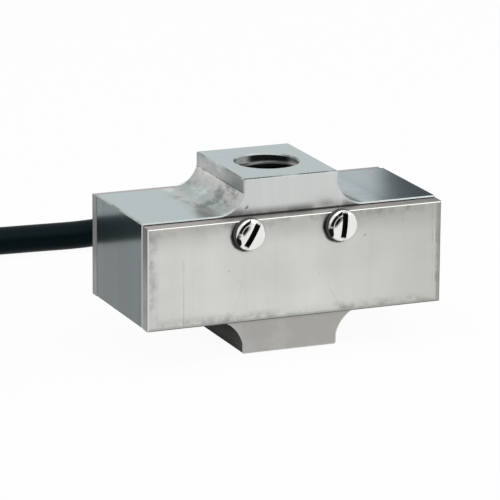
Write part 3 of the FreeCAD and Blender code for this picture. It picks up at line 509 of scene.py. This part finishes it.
# Painted highlight and shade: the top chamfer is bright, with a dark line along its upper rim.
top_chamfer_painted_highlight_and_shade = mix(above(z, cover_high[2] - 0.12 * mm), (0.60, 0.61, 0.585), (0.16, 0.152, 0.15))
tone = mix(upper_edge, tone, top_chamfer_painted_highlight_and_shade)
# Painted shade: the plate's ends and bottom are dark, darkest next to its outer face, and its top is a dull
# brown grey.
outer_face = abs(cover_low[1])
near_face = rise(absolute(y), outer_face - 0.62 * mm, outer_face - 0.40 * mm)
side_painted_shade = mix(near_face, (0.31, 0.305, 0.305), (0.09, 0.088, 0.086))
tone = mix(side, tone, side_painted_shade)
tone = mix(upper_side, tone, (0.36, 0.335, 0.33))
# Painted shade: the plate's faces darken a little towards the right.
painted_shade_factor = mix(rise(x, -20 * mm, 0 * mm), (0.89, 0.89, 0.885), (0.835, 0.84, 0.83))
tone = mix(inverse(side), tone, mix(1.0, tone, painted_shade_factor, "MULTIPLY"))
tree.links.new(tone, shader.inputs["Base Color"])
shader.inputs["Metallic"].default_value = 1.0
tree.links.new(maths("MULTIPLY_ADD", streaks, 0.12, 0.34), shader.inputs["Roughness"])
bump(fine, 0.06)
dress(cover_steel, "front_cover", "rear_cover")

gasket_rubber, tree, shader, add = new_material("gasket_rubber")
where = add("ShaderNodeTexCoord")
rubber_tone = ramp(noise(400.0), [(0.3, (0.010, 0.010, 0.010)), (0.7, (0.030, 0.029, 0.028))])
tree.links.new(rubber_tone, shader.inputs["Base Color"])
shader.inputs["Roughness"].default_value = 0.85
dress(gasket_rubber, "front_gasket", "rear_gasket")

# Cover screws: slotted pan heads of polished stainless. The slot and the side of a head are painted dark as
# shade, and the crown carries a dark crescent of painted reflection to the upper left of the slot.
screw_steel, tree, shader, add = new_material("polished_screw")
where = add("ShaderNodeTexCoord")
smudges = noise(700.0, (1, 1, 1), 3.0)
facing = add("ShaderNodeNewGeometry")
spot = add("ShaderNodeSeparateXYZ", {"Vector": where.outputs["Object"]})
normal = add("ShaderNodeSeparateXYZ", {"Vector": facing.outputs["Normal"]})
across = absolute(normal.outputs["Y"])
crown_from, slot_floor, head_side = 0.35, 15.7 * mm, 2.95 * mm
# Painted shade: the slot and the side of each head are near black and dull; the slot's mouth and the head's
# upper rim stay bright.
dark = inverse(above(across, crown_from))
dark = maths("MAXIMUM", dark, inverse(above(absolute(spot.outputs["Y"]), slot_floor)))
from_screw = maths("MINIMUM", from_head("front_screw_left"), from_head("front_screw_right"))
slot_mouth_from, slot_mouth_to = 2.25 * mm, 2.50 * mm
slot_end = times(rise(from_screw, slot_mouth_from, slot_mouth_to), inverse(above(from_screw, head_side)))
upper_rim = times(above(from_screw, head_side), above(normal.outputs["Z"], 0.3))
upper_rim = times(upper_rim, above(spot.outputs["Y"], 0.0))
dark = times(dark, inverse(maths("MAXIMUM", slot_end, upper_rim)))
bright = mix(smudges, (0.76, 0.75, 0.73), (0.90, 0.89, 0.87))
# Painted reflection: a near-black crescent on the crown, to the upper left of the slot.
facing_left = maths("MULTIPLY_ADD", normal.outputs["X"], -0.76, times(normal.outputs["Z"], 0.65))
crescent = times(rise(facing_left, 0.10, 0.15), inverse(rise(facing_left, 0.56, 0.68)))
crescent = times(crescent, inverse(rise(normal.outputs["X"], -0.10, 0.04)))
crescent = times(crescent, rise(smudges, 0.22, 0.42))
crescent = times(crescent, above(across, crown_from))
bright = mix(crescent, bright, (0.012, 0.012, 0.011))
shaded = mix(above(from_screw, 2.8 * mm), (0.010, 0.010, 0.010), (0.10, 0.10, 0.097))
tree.links.new(mix(dark, bright, shaded), shader.inputs["Base Color"])
polished = inverse(maths("MAXIMUM", dark, crescent))
tree.links.new(polished, shader.inputs["Metallic"])
tree.links.new(times(polished, 0.5), shader.inputs["Specular IOR Level"])
tree.links.new(maths("MULTIPLY_ADD", smudges, 0.08, 0.06), shader.inputs["Roughness"])
bump(noise(1500.0), 0.04)
dress(screw_steel, "front_screw_left", "front_screw_right", "rear_screw_left", "rear_screw_right")

# Threads of the two M12 holes: a ridge of 1.75 mm pitch that winds up the wall of each hole,
# grown by a node tree. The thread is painted dark as shade, and near the mouth of the upper one it carries
# painted highlights.
thread_radius, pitch, turns = 6.0 * mm, 1.75 * mm, 5.4
thread_steel, tree, shader, add = new_material("cut_thread")
where = add("ShaderNodeTexCoord")
spot = add("ShaderNodeSeparateXYZ", {"Vector": where.outputs["Object"]})
x, y, z = (spot.outputs[axis] for axis in "XYZ")
wear = noise(600.0, (1, 1, 1), 3.0)
# Painted shade: the thread is dark throughout.
cut_tone = mix(wear, (0.045, 0.05, 0.05), (0.11, 0.115, 0.11))
painted_highlight_share = 0.0
# Painted highlights: bright patches on the upper hole's wall near its mouth, made partly diffuse.
for (towards_x, towards_y), low, high, top, bottom, painted_highlight_colour in (
    ((-0.8, 0.6), 0.62, 0.86, 0.0, 1.5, (0.62, 0.65, 0.64)),
    ((0.99, -0.1), 0.80, 0.94, 0.0, 1.6, (0.34, 0.325, 0.32)),
    ((0.6, 0.8), 0.955, 0.985, 1.5, 2.3, (0.85, 0.86, 0.85)),
):
    along = maths("ADD", times(x, towards_x / thread_radius), times(y, towards_y / thread_radius))
    at_depth = times(above(z, body_top - bottom * mm), above(body_top - top * mm, z))
    share = times(rise(along, low, high), at_depth)
    cut_tone = mix(share, cut_tone, painted_highlight_colour)
    painted_highlight_share = maths("MAXIMUM", share, painted_highlight_share)
tree.links.new(cut_tone, shader.inputs["Base Color"])
tree.links.new(maths("MULTIPLY_ADD", painted_highlight_share, -0.8, 1.0), shader.inputs["Metallic"])
tree.links.new(maths("MULTIPLY_ADD", wear, 0.12, 0.22), shader.inputs["Roughness"])

thread_tree = bpy.data.node_groups.new("thread_ridge", "GeometryNodeTree")
sockets = {}
for label in ("Turns", "Wall radius", "Length", "Ridge height", "Ridge width",
              "Start height", "Bore radius", "Bore length", "Finish"):
    kind = "NodeSocketMaterial" if label == "Finish" else "NodeSocketFloat"
    sockets[label] = thread_tree.interface.new_socket(label, in_out="INPUT", socket_type=kind).identifier
thread_tree.interface.new_socket("Geometry", in_out="OUTPUT", socket_type="NodeSocketGeometry")
given = thread_tree.nodes.new("NodeGroupInput")


def grow(kind, **links):
    """A node of the thread's tree, with its sockets linked or set by name."""
    node = thread_tree.nodes.new(kind)
    for label, value in links.items():
        socket = node.inputs[label.replace("_", " ")]
        if isinstance(value, bpy.types.NodeSocket):
            thread_tree.links.new(value, socket)
        else:
            socket.default_value = value
    return node


helix = grow("GeometryNodeCurveSpiral", Resolution=72, Rotations=given.outputs["Turns"],
             Start_Radius=given.outputs["Wall radius"], End_Radius=given.outputs["Wall radius"],
             Height=given.outputs["Length"])
ridge = thread_tree.nodes.new("GeometryNodeCurvePrimitiveCircle")
ridge.inputs["Resolution"].default_value = 4
ridge.inputs["Radius"].default_value = 1.0
shape = grow("ShaderNodeCombineXYZ", X=given.outputs["Ridge height"], Y=given.outputs["Ridge width"], Z=1.0)
section = grow("GeometryNodeTransform", Geometry=ridge.outputs["Curve"], Scale=shape.outputs[0])
swept = grow("GeometryNodeCurveToMesh", Curve=helix.outputs["Curve"],
             Profile_Curve=section.outputs["Geometry"], Fill_Caps=True)
bored = thread_tree.nodes.new("GeometryNodeCurvePrimitiveCircle")
bored.inputs["Resolution"].default_value = 96
thread_tree.links.new(given.outputs["Bore radius"], bored.inputs["Radius"])
bore_top = grow("ShaderNodeCombineXYZ", Z=given.outputs["Bore length"])
bore_line = grow("GeometryNodeCurvePrimitiveLine", End=bore_top.outputs[0])
tube = grow("GeometryNodeCurveToMesh", Curve=bore_line.outputs["Curve"],
            Profile_Curve=bored.outputs["Curve"])
wall = grow("GeometryNodeFlipFaces", Mesh=tube.outputs["Mesh"])
together = thread_tree.nodes.new("GeometryNodeJoinGeometry")
for part in (swept, wall):
    thread_tree.links.new(part.outputs["Mesh"], together.inputs["Geometry"])
raised = grow("ShaderNodeCombineXYZ", Z=given.outputs["Start height"])
placed = grow("GeometryNodeTransform", Geometry=together.outputs["Geometry"], Translation=raised.outputs[0])
realised = grow("GeometryNodeRealizeInstances", Geometry=placed.outputs["Geometry"])
finished = grow("GeometryNodeSetMaterial", Geometry=realised.outputs["Geometry"],
                Material=given.outputs["Finish"])
result = thread_tree.nodes.new("NodeGroupOutput")
thread_tree.links.new(finished.outputs["Geometry"], result.inputs["Geometry"])

for name, start, bore_length in (("upper_thread_ridge", body_top - 10.4 * mm, 10.1 * mm),
                                 ("lower_thread_ridge", 1.0 * mm, 9.45 * mm)):
    holder = bpy.data.objects.new(name + "_source", bpy.data.meshes.new(name + "_source"))
    scene.collection.objects.link(holder)
    modifier = holder.modifiers.new("thread", "NODES")
    modifier.node_group = thread_tree
    thread_sizes = {"Turns": turns, "Wall radius": thread_radius, "Length": turns * pitch,
                    "Ridge height": 0.95 * mm, "Ridge width": 0.86 * mm, "Start height": start,
                    "Bore radius": 5.92 * mm, "Bore length": bore_length, "Finish": thread_steel}
    for label, value in thread_sizes.items():
        modifier[sockets[label]] = value
    graph = bpy.context.evaluated_depsgraph_get()
    mesh = bpy.data.meshes.new_from_object(holder.evaluated_get(graph))
    bpy.data.objects.remove(holder)
    mesh.name = name
    ridge_piece = bpy.data.objects.new(name, mesh)
    scene.collection.objects.link(ridge_piece)
    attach(ridge_piece, "root")

# Cable gland: turned from brass and nickel-plated, with a rubber seal in its mouth
# and a tapered rubber strain relief where the cable comes out.
gland_metal, tree, shader, add = new_material("nickel_plated_gland")
where = add("ShaderNodeTexCoord")
turned = noise(500.0, (1, 0.04, 1), 3.0)
tree.links.new(mix(turned, (0.56, 0.54, 0.50), (0.68, 0.66, 0.62)), shader.inputs["Base Color"])
shader.inputs["Metallic"].default_value = 1.0
tree.links.new(maths("MULTIPLY_ADD", turned, 0.14, 0.18), shader.inputs["Roughness"])
bump(turned, 0.05)
dress(gland_metal, "gland_body", "gland_locknut", "gland_nut")

relief_rubber, tree, shader, add = new_material("moulded_rubber")
where = add("ShaderNodeTexCoord")
moulded_tone = ramp(noise(300.0), [(0.3, (0.008, 0.009, 0.009)), (0.7, (0.020, 0.021, 0.021))])
tree.links.new(moulded_tone, shader.inputs["Base Color"])
tree.links.new(maths("MULTIPLY_ADD", noise(900.0), 0.2, 0.5), shader.inputs["Roughness"])
bump(noise(1800.0), 0.15)
dress(relief_rubber, "strain_relief", "gland_seal")

# Cable tie: a moulded nylon strap, drawn tight round the wound turns and cut off short.
# It has a raised rim along each side, and its teeth bear on the pawl inside the square head.
tie_nylon, tree, shader, add = new_material("black_nylon_tie")
where = add("ShaderNodeTexCoord")
tree.links.new(mix(noise(700.0), (0.010, 0.010, 0.010), (0.022, 0.022, 0.022)), shader.inputs["Base Color"])
tree.links.new(maths("MULTIPLY_ADD", noise(280.0), 0.16, 0.36), shader.inputs["Roughness"])
bump(noise(1400.0), 0.08)

tie_width, tie_thickness, rim_width, rim_height = 3.6, 0.95, 0.6, 0.25
out_from_coil = Vector((math.cos(math.radians(tie_direction)), math.sin(math.radians(tie_direction)), 0))
along_coil = Vector((-out_from_coil.y, out_from_coil.x, 0))
coil_middle = Vector((*coil_centre, 0))
turns_held = [turn_at(angle) for angle in range(360 + tie_direction, last_angle, 360)]


def beside_turns(degrees, clear):
    """The point where a tight band, clear of the turns by that much, faces this way round them."""
    facing_r, facing_z = math.cos(math.radians(degrees)), math.sin(math.radians(degrees))
    radius, height = max(turns_held, key=lambda turn: turn[0] * facing_r + turn[1] * facing_z)
    reach = cable_diameter / mm / 2 + clear
    raised_to = Vector((0, 0, height + reach * facing_z))
    return coil_middle + out_from_coil * (radius + reach * facing_r) + raised_to


half = tie_width / 2
strap_inner, groove_slope, groove_floor = 0.06, 0.1, tie_thickness - rim_height
half_groove = half - rim_width
strap_section = [(-half, strap_inner), (half, strap_inner), (half, tie_thickness),
                 (half_groove, tie_thickness), (half_groove - groove_slope, groove_floor),
                 (groove_slope - half_groove, groove_floor), (-half_groove, tie_thickness),
                 (-half, tie_thickness)]
tie_mesh = bmesh.new()
rings = []
for degrees in range(0, 360, 5):
    rings.append([tie_mesh.verts.new((beside_turns(degrees, clear) + along_coil * sideways) * mm)
                  for sideways, clear in strap_section])
for ring, following in zip(rings, rings[1:] + rings[:1]):
    for corner in range(len(ring)):
        beyond = (corner + 1) % len(ring)
        tie_mesh.faces.new((ring[corner], following[corner], following[beyond], ring[beyond]))
seat = beside_turns(0, tie_thickness)
tie_head_and_tail = [((-0.9, 3.1), (-2.75, 2.75), (-5.2, 0.2), 0.45),
                     ((0.35, 1.25), (-half, half), (-9.6, -5.0), 0.12)]
for (near, far), (left, right), (low, high), rounding in tie_head_and_tail:
    block = bmesh.ops.create_cube(tie_mesh, size=1.0)["verts"]
    for corner in block:
        r = near + (corner.co.x + 0.5) * (far - near)
        t = left + (corner.co.y + 0.5) * (right - left)
        h = low + (corner.co.z + 0.5) * (high - low)
        corner.co = (seat + out_from_coil * r + along_coil * t + Vector((0, 0, h))) * mm
    block_edges = {edge for corner in block for edge in corner.link_edges}
    bmesh.ops.bevel(tie_mesh, geom=list(block_edges), offset=rounding * mm, segments=3,
                    affect="EDGES", profile=0.5)
bmesh.ops.recalc_face_normals(tie_mesh, faces=tie_mesh.faces[:])
drawn_tie_mesh = bpy.data.meshes.new("drawn_tie")
tie_mesh.to_mesh(drawn_tie_mesh)
tie_mesh.free()
drawn_tie_mesh.materials.append(tie_nylon)
drawn_tie = bpy.data.objects.new("drawn_tie", drawn_tie_mesh)
scene.collection.objects.link(drawn_tie)
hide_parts("cable_tie")
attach(drawn_tie, "root")

# Bare end of the cable: a shrunk sleeve, four cores insulated with PVC and the drain wire.
# The cores are stripped at their ends and tinned. All of it lies on the coil.
for name, low, high, rough, fleck in (
    ("end_sleeve", (0.006, 0.006, 0.006), (0.016, 0.016, 0.016), 0.55, 900.0),
    ("lead_red", (0.42, 0.018, 0.012), (0.55, 0.030, 0.020), 0.30, 500.0),
    ("lead_black", (0.010, 0.010, 0.010), (0.022, 0.022, 0.022), 0.32, 500.0),
    ("lead_green", (0.012, 0.22, 0.055), (0.020, 0.30, 0.075), 0.30, 500.0),
    ("lead_white", (0.70, 0.70, 0.67), (0.80, 0.80, 0.77), 0.32, 500.0),
):
    plastic, tree, shader, add = new_material(name + "_plastic")
    where = add("ShaderNodeTexCoord")
    tree.links.new(mix(noise(fleck), low, high), shader.inputs["Base Color"])
    roughness = maths("MULTIPLY_ADD", noise(fleck * 0.4), 0.16, rough - 0.06)
    tree.links.new(roughness, shader.inputs["Roughness"])
    bump(noise(fleck * 2), 0.08)
    dress(plastic, name)

tinned, tree, shader, add = new_material("tinned_copper")
where = add("ShaderNodeTexCoord")
strands = noise(1200.0, (1, 1, 1), 2.0)
tree.links.new(mix(strands, (0.52, 0.51, 0.49), (0.74, 0.73, 0.70)), shader.inputs["Base Color"])
shader.inputs["Metallic"].default_value = 1.0
tree.links.new(maths("MULTIPLY_ADD", strands, 0.2, 0.22), shader.inputs["Roughness"])
bump(strands, 0.4, 0.0003)
dress(tinned, "lead_tips", "shield_drain")

# Inside the block: foil gauges glued in the two bores, the terminal board with its trim resistors,
# enamelled wires, the cable's cores, and the silicone compound that fills the bores.
for name, low, high, rough, metal, pieces in (
    ("gauge_film", (0.55, 0.30, 0.06), (0.70, 0.42, 0.12), 0.35, 0.0,
     ("gauge_left_upper", "gauge_left_lower", "gauge_right_upper", "gauge_right_lower")),
    ("board_laminate", (0.012, 0.12, 0.045), (0.020, 0.17, 0.065), 0.38, 0.0, ("terminal_board",)),
    ("resistor_body", (0.012, 0.012, 0.013), (0.030, 0.030, 0.032), 0.5, 0.0, ("trim_resistors",)),
    ("wire_enamel", (0.42, 0.16, 0.05), (0.55, 0.22, 0.07), 0.25, 0.6,
     ("gauge_wires_left", "gauge_wires_right")),
    ("core_insulation", (0.50, 0.50, 0.47), (0.62, 0.62, 0.58), 0.35, 0.0, ("cable_cores",)),
    ("silicone_compound", (0.52, 0.52, 0.48), (0.64, 0.64, 0.60), 0.48, 0.0,
     ("potting_left", "potting_right")),
):
    finish, tree, shader, add = new_material(name)
    where = add("ShaderNodeTexCoord")
    tree.links.new(mix(noise(450.0), low, high), shader.inputs["Base Color"])
    tree.links.new(maths("MULTIPLY_ADD", noise(250.0), 0.2, rough - 0.1), shader.inputs["Roughness"])
    shader.inputs["Metallic"].default_value = metal
    bump(noise(1300.0), 0.1)
    dress(finish, *pieces)
